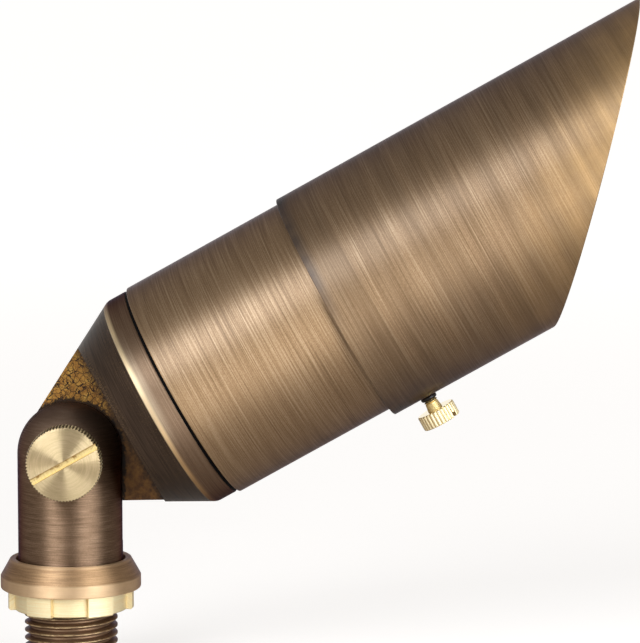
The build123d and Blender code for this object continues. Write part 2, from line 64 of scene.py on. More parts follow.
def local_frame(origin, axis, side):
    """Matrix of a frame with Z along the axis and X as near as can be to the side direction."""
    z_axis = Vector(axis).normalized()
    y_axis = z_axis.cross(Vector(side)).normalized()
    x_axis = y_axis.cross(z_axis)
    turn = Matrix((x_axis, y_axis, z_axis)).transposed().to_4x4()
    return Matrix.Translation(Vector(origin)) @ turn


def local_points(node, place):
    """The node's vertices in a local frame."""
    inverse = place.inverted()
    return [inverse @ vertex.co for vertex in nodes[node].data.vertices]


def stations(node, place):
    """Lowest and highest station of a node along the local Z."""
    heights = [point.z for point in local_points(node, place)]
    return min(heights), max(heights)


def widest(node, place):
    """Largest radius of a node about the local Z."""
    return max(point.xy.length for point in local_points(node, place))


def centred_on(node, place):
    """The local frame moved sideways to the middle of a round node."""
    points = local_points(node, place)
    across = [point.x for point in points]
    deep = [point.y for point in points]
    middle = Vector(((min(across) + max(across)) / 2, (min(deep) + max(deep)) / 2, 0))
    return place @ Matrix.Translation(middle)


PIVOT = Vector(joints["head_tilt"]["pos_m"])
BODY_AXIS = Vector(joints["shroud_slide"]["axis"])
UP = (0, 0, 1)
RIGHT = (1, 0, 0)
STEM = local_frame((0, 0, 0), UP, RIGHT)
BODY = local_frame(PIVOT, BODY_AXIS, UP)
SHROUD = centred_on("shroud", BODY)
KNOB = local_frame(PIVOT, joints["knuckle_screw_turn"]["axis"], RIGHT)
SCREW = local_frame(joints["shroud_screw_turn"]["pos_m"], joints["shroud_screw_turn"]["axis"], BODY_AXIS)

ROUND_COLUMNS = 192
FINE_COLUMNS = 288
THREAD_COLUMNS = 128
RING_COLUMNS = 64
RING_SECTION_STEPS = 16
ARC_STEPS = 5
DOME_STEPS = 24
TAIL_STEPS = 20
CROWN_STEPS = 6
LUG_STEPS = 8
BEVEL_ANGLE = math.radians(40)
SAME_HEIGHT = 1e-7


def even_angles(count):
    """Angles of evenly spaced columns around a full turn."""
    return [2 * math.pi * index / count for index in range(count)]


def rounded(corners):
    """Outline through (station, radius, rounding) corners, with an arc where the rounding isn't zero."""
    outline = []
    for index, (station, radius, rounding) in enumerate(corners):
        here = Vector((station, radius))
        if rounding == 0:
            outline.append(here)
            continue
        before = (Vector(corners[index - 1][:2]) - here).normalized()
        after = (Vector(corners[(index + 1) % len(corners)][:2]) - here).normalized()
        half = before.angle(after) / 2
        centre = here + (before + after).normalized() * (rounding / math.sin(half))
        first = here + before * (rounding / math.tan(half)) - centre
        last = here + after * (rounding / math.tan(half)) - centre
        for step in range(ARC_STEPS + 1):
            outline.append(centre + first.lerp(last, step / ARC_STEPS).normalized() * rounding)
    return outline


def new_piece(name, place, work):
    """Turns a bmesh that was built in a local frame into an object of the row's frame."""
    bmesh.ops.transform(work, matrix=place, verts=work.verts)
    bmesh.ops.recalc_face_normals(work, faces=work.faces)
    for face in work.faces:
        face.smooth = True
    mesh = bpy.data.meshes.new(name)
    work.to_mesh(mesh)
    work.free()
    piece = bpy.data.objects.new(name, mesh)
    bpy.context.scene.collection.objects.link(piece)
    return piece


def lathe(name, place, outline, angles=None, bend=None, closed=True):
    """Piece turned about the local Z from (station, radius) points; bend may shift a point by its angle."""
    angles = angles or even_angles(ROUND_COLUMNS)
    work = bmesh.new()
    rings = []
    for station, radius in outline:
        if radius == 0:
            rings.append([work.verts.new((0, 0, station))])
            continue
        ring = []
        for angle in angles:
            height, reach = bend(angle, station, radius) if bend else (station, radius)
            ring.append(work.verts.new((reach * math.cos(angle), reach * math.sin(angle), height)))
        rings.append(ring)
    pairs = list(zip(rings, rings[1:]))
    if closed:
        pairs.append((rings[-1], rings[0]))
    for low, high in pairs:
        for column in range(len(angles)):
            after = (column + 1) % len(angles)
            lower = [low[index % len(low)] for index in (column, after)]
            upper = [high[index % len(high)] for index in (after, column)]
            work.faces.new(list(dict.fromkeys(lower + upper)))
    return new_piece(name, place, work)


def prism(name, place, outline, low, high):
    """Straight-sided piece on an (x, y) outline between two stations of the local Z."""
    work = bmesh.new()
    floor = [work.verts.new((x, y, low)) for x, y in outline]
    roof = [work.verts.new((x, y, high)) for x, y in outline]
    work.faces.new(floor)
    work.faces.new(roof)
    for index in range(len(outline)):
        after = (index + 1) % len(outline)
        work.faces.new((floor[index], floor[after], roof[after], roof[index]))
    return new_piece(name, place, work)


def cut(piece, cutter):
    """Takes the cutter's volume out of a piece and deletes the cutter."""
    modifier = piece.modifiers.new("cut", "BOOLEAN")
    modifier.object = cutter
    modifier.solver = "EXACT"
    bpy.context.view_layer.update()
    graph = bpy.context.evaluated_depsgraph_get()
    piece.data = bpy.data.meshes.new_from_object(piece.evaluated_get(graph))
    piece.modifiers.clear()
    bpy.data.objects.remove(cutter)


def soften(piece, width):
    """Breaks the sharp edges of a piece with a small bevel."""
    bevel = piece.modifiers.new("edges", "BEVEL")
    bevel.width = width
    bevel.segments = 2
    bevel.limit_method = "ANGLE"
    bevel.angle_limit = BEVEL_ANGLE


def dress(piece, body, materials, node=None, crease=32):
    """Gives a piece its materials, shading and body, and lets it stand for a solid."""
    for material in materials:
        piece.data.materials.append(material)
    piece.data.set_sharp_from_angle(angle=math.radians(crease))
    normals = piece.modifiers.new("normals", "WEIGHTED_NORMAL")
    normals.keep_sharp = True
    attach(piece, body)
    if node:
        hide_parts(node)


class Surface:
    """Short-hand for the node tree of a material or of the world; its patterns lie in a local frame."""

    def __init__(self, owner, shader, inputs, place=STEM):
        self.frame = place
        self.material = owner
        owner.use_nodes = True
        self.tree = owner.node_tree
        self.shader = self.tree.nodes[shader]
        self.feed(self.shader, inputs)

    def feed(self, node, inputs):
        """Links or sets each named input of a node."""
        for socket, value in inputs.items():
            if isinstance(value, bpy.types.NodeSocket):
                self.tree.links.new(value, node.inputs[socket])
            else:
                node.inputs[socket].default_value = value

    def node(self, kind, inputs, **settings):
        """New node with its settings and inputs."""
        node = self.tree.nodes.new(kind)
        for setting, value in settings.items():
            setattr(node, setting, value)
        self.feed(node, inputs)
        return node

    def math(self, operation, first, second=0.0):
        """Result of a maths node, which may use one value or two."""
        return self.node("ShaderNodeMath", {0: first, 1: second}, operation=operation).outputs[0]

    def vector(self, operation, first, second):
        """Vector maths node on two vectors."""
        return self.node("ShaderNodeVectorMath", {0: first, 1: second}, operation=operation)

    def offset(self):
        """Position on the piece, counted from the origin of the local frame."""
        spot = self.node("ShaderNodeTexCoord", {}).outputs["Object"]
        return self.vector("SUBTRACT", spot, self.frame.translation).outputs[0]

    def place(self):
        """Position on the piece, in millimetres of the local frame."""
        offset = self.offset()
        axes = self.frame.to_3x3().col
        parts = [self.vector("DOT_PRODUCT", offset, axis / MM).outputs["Value"] for axis in axes]
        return self.node("ShaderNodeCombineXYZ", dict(zip("XYZ", parts))).outputs[0]

    def split(self, vector):
        """The three parts of a vector."""
        return self.node("ShaderNodeSeparateXYZ", {0: vector}).outputs

    def stretch(self, vector, scale):
        """Vector with each part multiplied."""
        return self.vector("MULTIPLY", vector, scale).outputs[0]

    def reach(self, spot):
        """Distance of a place from the local Z."""
        flat = self.stretch(spot, (1, 1, 0))
        return self.node("ShaderNodeVectorMath", {0: flat}, operation="LENGTH").outputs["Value"]

    def turned(self, around, across):
        """Place for marks round the axis, on walls and faces: cycles per millimetre along and across."""
        spot = self.place()
        parts = self.split(spot)
        run = self.math("ADD", parts["Z"], self.product(self.reach(spot), 0.7))
        joined = self.node("ShaderNodeCombineXYZ", {"X": parts["X"], "Y": parts["Y"], "Z": run}).outputs[0]
        return self.stretch(joined, (around, around, across))

    def product(self, *factors):
        """Product of two or more values."""
        result = factors[0]
        for factor in factors[1:]:
            result = self.math("MULTIPLY", result, factor)
        return result

    def total(self, *terms):
        """Sum of (value, weight) terms."""
        result = self.product(*terms[0])
        for value, weight in terms[1:]:
            result = self.math("ADD", result, self.product(value, weight))
        return result

    def noise(self, vector, scale=1.0, detail=2.0, rough=0.5):
        """Value of a noise pattern."""
        inputs = {"Vector": vector, "Scale": scale, "Detail": detail, "Roughness": rough}
        return self.node("ShaderNodeTexNoise", inputs).outputs["Fac"]

    def span(self, value, low, high, start=0.0, end=1.0):
        """Value mapped from one range to another, held at its ends."""
        inputs = {"Value": value, "From Min": low, "From Max": high, "To Min": start, "To Max": end}
        return self.node("ShaderNodeMapRange", inputs).outputs["Result"]

    def tone(self, value, *stops):
        """Colour read from (position, colour) stops."""
        ramp = self.node("ShaderNodeValToRGB", {"Fac": value})
        elements = ramp.color_ramp.elements
        while len(elements) < len(stops):
            elements.new(1.0)
        for element, (position, colour) in zip(elements, stops):
            element.position = position
            element.color = (*colour, 1)
        return ramp.outputs["Color"]

    def blend(self, share, first, second):
        """Mix of two colours, with the second one's share."""
        node = self.node("ShaderNodeMix", {"Factor": share}, data_type="RGBA")
        self.feed(node, {6: first, 7: second})
        return node.outputs[2]

    def bump(self, height, strength, depth):
        """Feeds the shader's normal from a height of the given depth."""
        inputs = {"Height": height, "Strength": strength, "Distance": depth}
        self.feed(self.shader, {"Normal": self.node("ShaderNodeBump", inputs).outputs["Normal"]})

    def brush(self, amount):
        """Spreads the gloss across marks that run round the local Z."""
        round_axis = self.vector("CROSS_PRODUCT", self.frame.to_3x3().col[2], self.offset()).outputs[0]
        turned = {"vector_type": "VECTOR", "convert_from": "OBJECT", "convert_to": "WORLD"}
        tangent = self.node("ShaderNodeVectorTransform", {0: round_axis}, **turned).outputs[0]
        self.feed(self.shader, {"Tangent": tangent, "Anisotropic": amount, "Anisotropic Rotation": 0.25})


def new_surface(name, inputs, place=STEM):
    """Surface of a new material, with constant inputs set on its shader."""
    return Surface(bpy.data.materials.new(name), "Principled BSDF", inputs, place)


# Sizes of the stem, its collar and its nut, counted along the stem
post_points = local_points("knuckle_post", STEM)
post_radius = widest("knuckle_post", STEM)
wire_bore_radius = mounts["wire_inlet"]["dims"]["r_mm"] * MM
thread_radius = mounts["stem_thread"]["dims"]["r_mm"] * MM
thread_pitch = 25.4 * MM / 14
thread_depth = 1.2 * MM
thread_root = thread_radius - thread_depth
thread_flat = 0.12
thread_flank = 0.34
seat_radius = thread_radius + 0.38 * MM
post_chamfer = 0.4 * MM
post_edge = 0.12 * MM
lap_face = max(point.y for point in post_points if point.z > PIVOT.z)
lap_floor = min(point.z for point in post_points if abs(point.y - lap_face) < 0.01 * MM)
wire_bore_top = lap_floor - 3.5 * MM
collar_bottom, collar_top = stations("base_collar", STEM)
collar_radius = widest("base_collar", STEM)
collar_band = 2.9 * MM
collar_rim = 1.3 * MM
collar_bore_radius = post_radius + 0.55 * MM
collar_foot_rounding = 0.45 * MM
collar_band_rounding = 0.3 * MM
collar_rim_rounding = 0.35 * MM
collar_bore_rounding = 0.2 * MM
post_bottom = collar_bottom + 2.1 * MM
nut_bottom, nut_top = stations("lock_nut", STEM)
nut_bore_radius = seat_radius - 0.05 * MM
lug_radius = widest("lock_nut", STEM)
lug_count = 6
lug_pitch = 2 * math.pi / lug_count
lug_turn = math.radians(3.4)
lug_half_angle = math.radians(25.5) / 2
lug_flank = math.radians(0.5)
lug_edge = 0.25 * MM
notch_depth = 1.25 * MM

# Sizes of the knuckle's thumb screw, counted from the pivot towards its head
spot_face, _ = stations("knuckle_washer", KNOB)
spot_face_radius = widest("knuckle_washer", KNOB) + 0.15 * MM
knob_tip, knob_face = stations("knuckle_thumb_screw", KNOB)
knob_radius = widest("knuckle_thumb_screw", KNOB)
knob_start = knob_face - 4.8 * MM
knob_shoulder_start = knob_start - 2.2 * MM
knob_shank_radius = 3.0 * MM
knob_shoulder_radius = 5.2 * MM
knob_chamfer = 0.20 * MM
knob_back_chamfer = 0.15 * MM
knob_tooth_count = 72
knob_tooth_depth = 0.24 * MM
knob_crown = 0.45 * MM
knob_slot_width = 1.5 * MM
knob_slot_depth = 1.2 * MM
knob_slot_angle = math.radians(29.4)

# Sizes of the housing, counted along the body from the pivot
cap_tail, spigot_end = stations("rear_cap", BODY)
tail_radius = -cap_tail
tab_face = -lap_face
cone_angle = math.radians(28.2)
shoulder_station = post_radius + 1.5 * MM
shoulder_draft = math.radians(7.0)
cap_front, barrel_rear = stations("cap_gasket", BODY)
band_radius = widest("rear_cap", BODY)
band_rear = cap_front - 4.7 * MM
band_rounding = 3.0 * MM
cap_rounding = 0.3 * MM
cap_edge = 0.1 * MM
gasket_clearance = 0.03 * MM
spigot_radius = widest("cap_gasket", BODY) - 0.8 * MM - gasket_clearance
cavity_radius = spigot_radius - 2.45 * MM
cavity_floor = cap_front - 7.3 * MM
seam_relief = 0.08 * MM
_, barrel_front = stations("barrel", BODY)
barrel_radius = widest("barrel", BODY)
barrel_bore_radius = barrel_radius - 1.3 * MM
barrel_bore_rounding = 0.2 * MM
barrel_rear_rounding = 0.25 * MM
barrel_front_rounding = 0.3 * MM
lip_radius = barrel_bore_radius - 2.2 * MM
lip_rear = barrel_front - 1.6 * MM
shroud_rear, shroud_tip = stations("shroud", SHROUD)
shroud_radius = widest("shroud", SHROUD)
shroud_bore_radius = shroud_radius - 1.0 * MM
shroud_edge = 0.25 * MM
shroud_slope = math.tan(math.radians(43.3))
shroud_mouth = shroud_tip + shroud_edge - shroud_radius * shroud_slope

# Sizes of the lamp's optic, counted along the body
optic_rear, optic_front = stations("lamp_optic", BODY)
optic_radius = widest("lamp_optic", BODY)
optic_rear_radius = optic_radius - 2.2 * MM
optic_hollow_depth = 3.4 * MM
chip_radius = 5.0 * MM
optic_rim = 1.6 * MM
prism_count = 9
prism_depth = 0.4 * MM
prism_flank = 0.1 * MM

# Sizes of the shroud's thumb screw, counted away from the body
screw_tip, screw_face = stations("shroud_thumb_screw", SCREW)
screw_radius = widest("shroud_thumb_screw", SCREW)
screw_head_start = screw_face - 3.4 * MM
screw_neck_start = screw_head_start - 1.74 * MM
screw_shoulder_start = screw_neck_start - 0.7 * MM
screw_shank_radius = 1.2 * MM
screw_shoulder_radius = 1.45 * MM
screw_shoulder_rounding = 0.1 * MM
screw_groove_radius = 1.25 * MM
screw_groove_width = 0.2 * MM
screw_neck_radius = 1.5 * MM
screw_neck_end_radius = 1.75 * MM
screw_neck_rounding = 0.05 * MM
screw_edge = 0.2 * MM
screw_slot_width = 1.3 * MM
screw_slot_depth = 1.15 * MM
screw_slot_angle = math.radians(39)
flute_count = 30
flute_depth = 0.22 * MM
flute_share = 0.53
ring_low, ring_high = stations("shroud_screw_o_ring", SCREW)
ring_outer = widest("shroud_screw_o_ring", SCREW)
ring_inner = screw_shank_radius + 0.1 * MM


# Colours of patina, wear and dirt, and of painted shade, shadow and highlights
EDGE_TINT = (0.12, 0.10, 0.25, 1)
WHITE_EDGE = (1, 1, 1, 1)
DARK_CONE_TINT = (0.22, 0.13, 0.08, 1)
OLD_GOLD = (0.72, 0.455, 0.19, 1)
HAZE_BROWN = (0.20, 0.118, 0.056, 1)
SHROUD_PAINTED_SHADE = (0.12, 0.083, 0.065, 1)
BAND_BROWN = (0.17, 0.108, 0.082, 1)
PAINTED_PALE_SHEEN = (0.88, 0.71, 0.49, 1)
SHADED_EDGE_GOLD = (0.80, 0.50, 0.22)
LIT_EDGE_GOLD = (0.97, 0.76, 0.47)
CONE_COATING_AND_SHADE = (0.021, 0.0122, 0.0075, 1)
DEEP_CONE_COATING_AND_SHADE = (0.018, 0.0108, 0.0067)
PALE_CONE_COATING_AND_SHADE = (0.040, 0.0246, 0.0155)
SCRATCH_BROWN = (0.13, 0.075, 0.032, 1)
DOME_PAINTED_SHADE = (0.075, 0.05, 0.04, 1)
COLLAR_BRASS = (0.89, 0.63, 0.37, 1)
CREST_GOLD = (0.62, 0.45, 0.24, 1)
KNURL_PAINTED_SHADE = (0.09, 0.055, 0.022, 1)
SLOT_DIRT_AND_SHADOW = (0.36, 0.19, 0.055, 1)
HEAD_BRASS = (0.95, 0.80, 0.50, 1)
FLUTE_PAINTED_SHADE = (0.50, 0.34, 0.13, 1)
CRACK_BROWN = (0.03, 0.013, 0.005, 1)
CREVICE_PAINTED_SHADE = (0.012, 0.006, 0.003, 1)
COAT_ROUGHNESS = 0.35


def turned_metal(name, place, tones, run, gloss, spread=0.85, coat=0.35, finish=None, edge=EDGE_TINT):
    """Patinated metal, brushed round the Z of a local frame; its streaks are about run millimetres long."""
    surface = new_surface(name, {
        "Metallic": 1.0,
        "Specular Tint": edge,
        "Coat Weight": coat,
        "Coat Roughness": COAT_ROUGHNESS,
    }, place)
    fine = surface.noise(surface.turned(1 / run, 6.0), detail=1)
    medium = surface.noise(surface.turned(0.5 / run, 2.0), detail=1)
    broad = surface.noise(surface.turned(0.2 / run, 0.15), detail=2)
    grain = surface.noise(surface.place(), scale=3.5, detail=2, rough=0.7)
    streak = surface.total((fine, 0.5), (medium, 0.14), (broad, 0.08), (grain, 0.28))
    dark, body, light = tones
    colour = surface.tone(streak, (0.36, dark), (0.5, body), (0.64, light))
    if finish:
        colour = finish(surface, colour)
    roughness = surface.span(streak, 0.36, 0.64, *gloss)
    surface.feed(surface.shader, {"Base Color": colour, "Roughness": roughness})
    surface.bump(grain, 0.15, 0.02 * MM)
    surface.brush(spread(surface) if callable(spread) else spread)
    return surface.material


def shroud_finish(surface, colour):
    """Golden wear towards the mouth, brown haze in bands, and painted shade at the rear edge and on the underside.
    """
    spot = surface.place()
    parts = surface.split(spot)
    height = parts["X"]
    cloud = surface.noise(spot, scale=0.2, detail=3)
    depth = surface.math("SUBTRACT", surface.product(height, shroud_slope), parts["Z"])
    inward = surface.math("ADD", depth, shroud_mouth / MM)
    wear_and_sheen = surface.product(
        surface.span(inward, 0.0, 24.0, 0.85, 0.0),
        surface.span(cloud, 0.3, 0.7, 0.6, 1.0),
        surface.span(height, -20, 5, 0.5, 1.0),
    )
    colour = surface.blend(wear_and_sheen, colour, OLD_GOLD)
    ahead = surface.math("SUBTRACT", parts["Z"], shroud_rear / MM)
    bands = surface.noise(surface.turned(0.01, 0.22), detail=3)
    haze = surface.product(
        surface.span(ahead, 2.0, 45.0, 0.46, 0.38),
        surface.span(bands, 0.4, 0.6, 0.2, 1.0),
    )
    colour = surface.blend(haze, colour, HAZE_BROWN)
    # Painted shade: a dark strip along the rear edge at the step, and a darker underside towards the rear
    strip = surface.product(surface.span(ahead, 1.0, 3.0, 1.0, 0.0), surface.span(height, -4, 12))
    low = surface.span(height, -24, -15, 1.0, 0.0)
    under = surface.product(surface.span(ahead, 2.0, 32.0, 0.7, 0.0), low)
    painted_shade = surface.product(
        surface.math("MAXIMUM", strip, under),
        surface.span(cloud, 0.35, 0.6, 0.55, 0.85),
    )
    return surface.blend(painted_shade, colour, SHROUD_PAINTED_SHADE)


def cap_finish(surface, colour):
    """Dark matt coating on the cone, partly painted shade, with faint scratches; a worn golden rounded edge with a
    painted highlight; and a browner band with a painted pale sheen.
    """
    spot = surface.place()
    parts = surface.split(spot)
    station = parts["Z"]
    height = parts["X"]
    start = band_rear / MM
    off_sheen = surface.math("ABSOLUTE", surface.math("SUBTRACT", height, 6))
    cloud = surface.noise(spot, scale=0.15, detail=3)
    band = surface.blend(0.6, colour, BAND_BROWN)
    # Painted highlight: a pale sheen across the band, around the height where the lamp's highlight lies
    wear_and_sheen = surface.product(
        surface.span(station, start - 0.6, start + 2.4, 0.6, 0.0),
        surface.span(off_sheen, 3, 15, 1.0, 0.0),
    )
    band = surface.blend(wear_and_sheen, band, PAINTED_PALE_SHEEN)
    # Worn bare edge with a painted highlight: brighter near the sheen and painted lighter towards the top
    line = surface.product(
        surface.span(station, start - 0.3, start + 0.35, 1.0, 0.0),
        surface.span(off_sheen, 14, 30, 1.0, 0.4),
        surface.span(cloud, 0.35, 0.6, 0.75, 1.0),
    )
    gold = surface.tone(surface.span(height, -18, 6), (0.0, SHADED_EDGE_GOLD), (1.0, LIT_EDGE_GOLD))
    band = surface.blend(line, band, gold)
    specks = surface.noise(surface.stretch(spot, (5.0, 5.0, 1.2)), detail=2)
    dots = surface.product(
        surface.span(specks, 0.60, 0.68, 0.0, 0.5),
        surface.span(station, start - 6.0, start - 1.2),
    )
    lap_depth = surface.math("ADD", parts["Y"], tab_face / MM)
    wall = surface.product(lap_depth, math.tan(shoulder_draft))
    beyond = surface.math("SUBTRACT", surface.math("SUBTRACT", station, shoulder_station / MM), wall)
    scratches = surface.noise(surface.stretch(spot, (5.0, 5.0, 0.6)), detail=1)
    hairs = surface.product(
        surface.span(scratches, 0.54, 0.60, 0.0, 0.6),
        surface.span(beyond, -0.4, 0.0),
        surface.span(beyond, 0.2, 2.0, 1.0, 0.0),
        surface.span(height, -4, 6, 0.3, 1.0),
    )
    # The cone's dark matt coating, with painted shade of the rear-facing cone in its colour
    rings = surface.noise(surface.turned(0.12, 4.5), detail=2)
    coating_and_shade = surface.tone(rings, (0.38, DEEP_CONE_COATING_AND_SHADE), (0.62, PALE_CONE_COATING_AND_SHADE))
    coating_and_shade = surface.blend(surface.math("MAXIMUM", dots, hairs), coating_and_shade, SCRATCH_BROWN)
    bare = surface.span(station, start - 1.1, start - 0.8)
    tint = surface.blend(bare, DARK_CONE_TINT, EDGE_TINT)
    surface.feed(surface.shader, {"Metallic": bare, "Specular Tint": tint})
    return surface.blend(bare, coating_and_shade, band)


def post_finish(surface, colour):
    """Painted shade that darkens the post towards the dome."""
    height = surface.split(surface.place())["Z"]
    dark = surface.span(height, PIVOT.z / MM - 4, PIVOT.z / MM + 9, 0.0, 0.6)
    return surface.blend(dark, colour, DOME_PAINTED_SHADE)


def post_spread(surface):
    """Brushing that fades out on the dome."""
    height = surface.split(surface.place())["Z"]
    return surface.span(height, PIVOT.z / MM - 2, PIVOT.z / MM + 7, 0.9, 0.0)


def collar_finish(surface, colour):
    """Brass shows on the collar's lower band and along its upper rim."""
    spot = surface.place()
    height = surface.split(spot)["Z"]
    cloud = surface.noise(spot, scale=0.25, detail=3)
    band_top = (collar_bottom + collar_band) / MM
    low = surface.span(height, band_top - 0.2, band_top + 0.2, 1.0, 0.0)
    top = surface.span(height, collar_top / MM - 0.6, collar_top / MM - 0.2, 0.0, 0.5)
    wear_and_sheen = surface.product(surface.math("MAXIMUM", low, top), surface.span(cloud, 0.3, 0.7, 0.7, 1.0))
    return surface.blend(wear_and_sheen, colour, COLLAR_BRASS)


def thread_finish(surface, colour):
    """Golden flecks where the patina is rubbed off the crests."""
    spot = surface.place()
    reach = surface.reach(spot)
    flecks = surface.noise(surface.stretch(spot, (0.8, 0.8, 3.0)), detail=3)
    crest = surface.span(reach, thread_radius / MM - 0.4, thread_radius / MM - 0.05)
    wear_and_sheen = surface.product(crest, surface.span(flecks, 0.44, 0.56, 0.15, 1.0))
    return surface.blend(wear_and_sheen, colour, CREST_GOLD)


def knob_finish(surface, colour):
    """Painted shade between the teeth of the knurl."""
    spot = surface.place()
    rim = (knob_face - knob_crown) / MM
    side = surface.span(surface.split(spot)["Z"], rim - knob_chamfer / MM, rim, 1.0, 0.0)
    gap = surface.span(surface.reach(spot), knob_radius / MM - 0.16, knob_radius / MM - 0.03, 1.0, 0.0)
    return surface.blend(surface.product(side, gap), colour, KNURL_PAINTED_SHADE)


def slot_finish(surface, colour):
    """Painted shadow along the upper edge of the screw's slot, and spots of brown dirt on its floor."""
    spot = surface.place()
    width = knob_slot_width / MM
    aside = Vector((-math.sin(knob_slot_angle), math.cos(knob_slot_angle), 0))
    across = surface.vector("DOT_PRODUCT", spot, aside).outputs["Value"]
    # Painted shadow along the slot's upper edge
    edge = surface.span(across, 0.20 * width, 0.42 * width, 0.0, 0.9)
    cloud = surface.span(surface.noise(spot, scale=0.9, detail=3), 0.50, 0.62, 0.0, 0.9)
    spots = surface.product(cloud, surface.span(across, -0.20 * width, 0.20 * width))
    return surface.blend(surface.math("MAXIMUM", edge, spots), colour, SLOT_DIRT_AND_SHADOW)


def screw_finish(surface, colour):
    """Paler brass on the head's wall than on the neck, with painted shade along the flutes."""
    spot = surface.place()
    head = surface.span(surface.split(spot)["Z"], screw_head_start / MM, screw_head_start / MM + 0.2)
    colour = surface.blend(head, colour, HEAD_BRASS)
    bottom = (screw_radius - flute_depth) / MM
    top = (screw_radius - 0.4 * flute_depth) / MM
    painted_flute_shade = surface.span(surface.reach(spot), bottom, top, 0.75, 0.0)
    return surface.blend(surface.product(head, painted_flute_shade), colour, FLUTE_PAINTED_SHADE)


def plain_surface(name, dark, light, gloss, inputs):
    """Material with a faint mottle, for pieces without brushing."""
    surface = new_surface(name, inputs)
    mottle = surface.noise(surface.place(), scale=2.0, detail=3)
    surface.feed(surface.shader, {
        "Base Color": surface.tone(mottle, (0.35, dark), (0.65, light)),
        "Roughness": surface.span(mottle, 0.3, 0.7, *gloss),
    })
    surface.bump(mottle, 0.1, 0.02 * MM)
    return surface.material


def board_surface():
    """Material of a white lacquered board with a yellow light-emitting chip in its middle."""
    surface = new_surface("board_white", {}, BODY)
    spot = surface.place()
    mottle = surface.noise(spot, scale=2.0, detail=3)
    board = surface.tone(mottle, (0.35, (0.78, 0.78, 0.76)), (0.65, (0.84, 0.84, 0.82)))
    phosphor = surface.tone(mottle, (0.35, (0.80, 0.52, 0.06)), (0.65, (0.88, 0.62, 0.10)))
    chip = surface.span(surface.reach(spot), chip_radius / MM - 0.1, chip_radius / MM, 1.0, 0.0)
    colour = surface.blend(chip, board, phosphor)
    roughness = surface.span(mottle, 0.3, 0.7, 0.45, 0.55)
    surface.feed(surface.shader, {"Base Color": colour, "Roughness": roughness})
    surface.bump(mottle, 0.1, 0.02 * MM)
    return surface.material


def crackle_surface():
    """Amber lacquer left on the tab's milled face: crazed above the pivot, smooth and browner below it."""
    surface = new_surface("amber_crackle", {"Specular IOR Level": 0.2}, BODY)
    spot = surface.place()
    parts = surface.split(spot)
    mottle = surface.noise(spot, scale=0.6, detail=4, rough=0.6)
    waver = surface.node("ShaderNodeTexNoise", {"Vector": spot, "Scale": 1.2, "Detail": 3.0})
    bent = surface.vector("ADD", spot, surface.stretch(waver.outputs["Color"], (0.9, 0.9, 0.9))).outputs[0]
    wide, small = [
        surface.node("ShaderNodeTexVoronoi", {"Vector": bent, "Scale": scale}, feature="DISTANCE_TO_EDGE")
        for scale in (0.72, 1.25)
    ]
    width = surface.span(mottle, 0.35, 0.65, 0.025, 0.055)
    wide_crack = surface.math("GREATER_THAN", width, wide.outputs["Distance"])
    small_crack = surface.span(small.outputs["Distance"], 0.02, 0.07, 0.6, 0.0)
    upper = surface.span(parts["X"], 1.0, 6.0)
    crack = surface.product(surface.math("MAXIMUM", wide_crack, small_crack), upper)
    amber = surface.tone(
        mottle,
        (0.3, (0.22, 0.09, 0.015)),
        (0.5, (0.38, 0.175, 0.03)),
        (0.7, (0.50, 0.27, 0.055)),
    )
    brown = surface.tone(mottle, (0.35, (0.07, 0.029, 0.009)), (0.65, (0.19, 0.085, 0.022)))
    face = surface.blend(upper, brown, amber)
    # The cone's dark coating and painted shade reach onto the tab along the shoulder, with a ragged edge
    fringe = surface.product(surface.noise(spot, scale=1.6, detail=2), 2.4)
    edge = shoulder_station / MM
    coating_and_shade_fringe = surface.span(surface.math("ADD", parts["Z"], fringe), edge - 0.8, edge + 1.4)
    face = surface.blend(coating_and_shade_fringe, face, CONE_COATING_AND_SHADE)
    # Painted shade in the crevice next to the post and its dome
    from_pivot = surface.split(surface.stretch(surface.offset(), (1 / MM, 1 / MM, 1 / MM)))
    aside = surface.math("POWER", from_pivot["X"], 2.0)
    above = surface.math("POWER", surface.math("MAXIMUM", from_pivot["Z"], 0.0), 2.0)
    post_reach = surface.math("SQRT", surface.math("ADD", aside, above))
    ragged = surface.product(surface.noise(spot, scale=1.3, detail=3), 3.0)
    near = post_radius / MM
    painted_crevice_shade = surface.span(surface.math("ADD", post_reach, ragged), near + 1.7, near + 2.4, 0.95, 0.0)
    face = surface.blend(painted_crevice_shade, face, CREVICE_PAINTED_SHADE)
    colour = surface.blend(crack, face, CRACK_BROWN)
    roughness = surface.span(mottle, 0.3, 0.7, 0.45, 0.65)
    surface.feed(surface.shader, {"Base Color": colour, "Roughness": roughness})
    surface.bump(surface.math("SUBTRACT", mottle, crack), 0.4, 0.1 * MM)
    return surface.material


# Dark, middle and light tone of each metal, and roughness from its dark to its light streaks
BRONZE_TONES = ((0.292, 0.173, 0.079), (0.407, 0.255, 0.128), (0.54, 0.373, 0.215))
SHROUD_TONES = ((0.287, 0.172, 0.081), (0.40, 0.253, 0.132), (0.53, 0.371, 0.219))
POST_TONES = ((0.185, 0.112, 0.065), (0.26, 0.161, 0.095), (0.345, 0.224, 0.142))
COLLAR_TONES = ((0.44, 0.262, 0.128), (0.53, 0.325, 0.162), (0.62, 0.39, 0.20))
THREAD_TONES = ((0.21, 0.125, 0.068), (0.28, 0.17, 0.095), (0.36, 0.225, 0.13))
BRASS_TONES = ((0.53, 0.40, 0.21), (0.60, 0.455, 0.25), (0.67, 0.515, 0.295))
PALE_BRASS_TONES = ((0.97, 0.77, 0.42), (0.99, 0.83, 0.50), (1.0, 0.89, 0.59))
GOLDEN_TONES = ((0.84, 0.64, 0.27), (0.90, 0.70, 0.32), (0.95, 0.77, 0.38))
SOFT = (0.70, 0.60)
BRUSHED = (0.66, 0.56)
SATIN = (0.50, 0.42)
MIRROR = (0.16, 0.10)
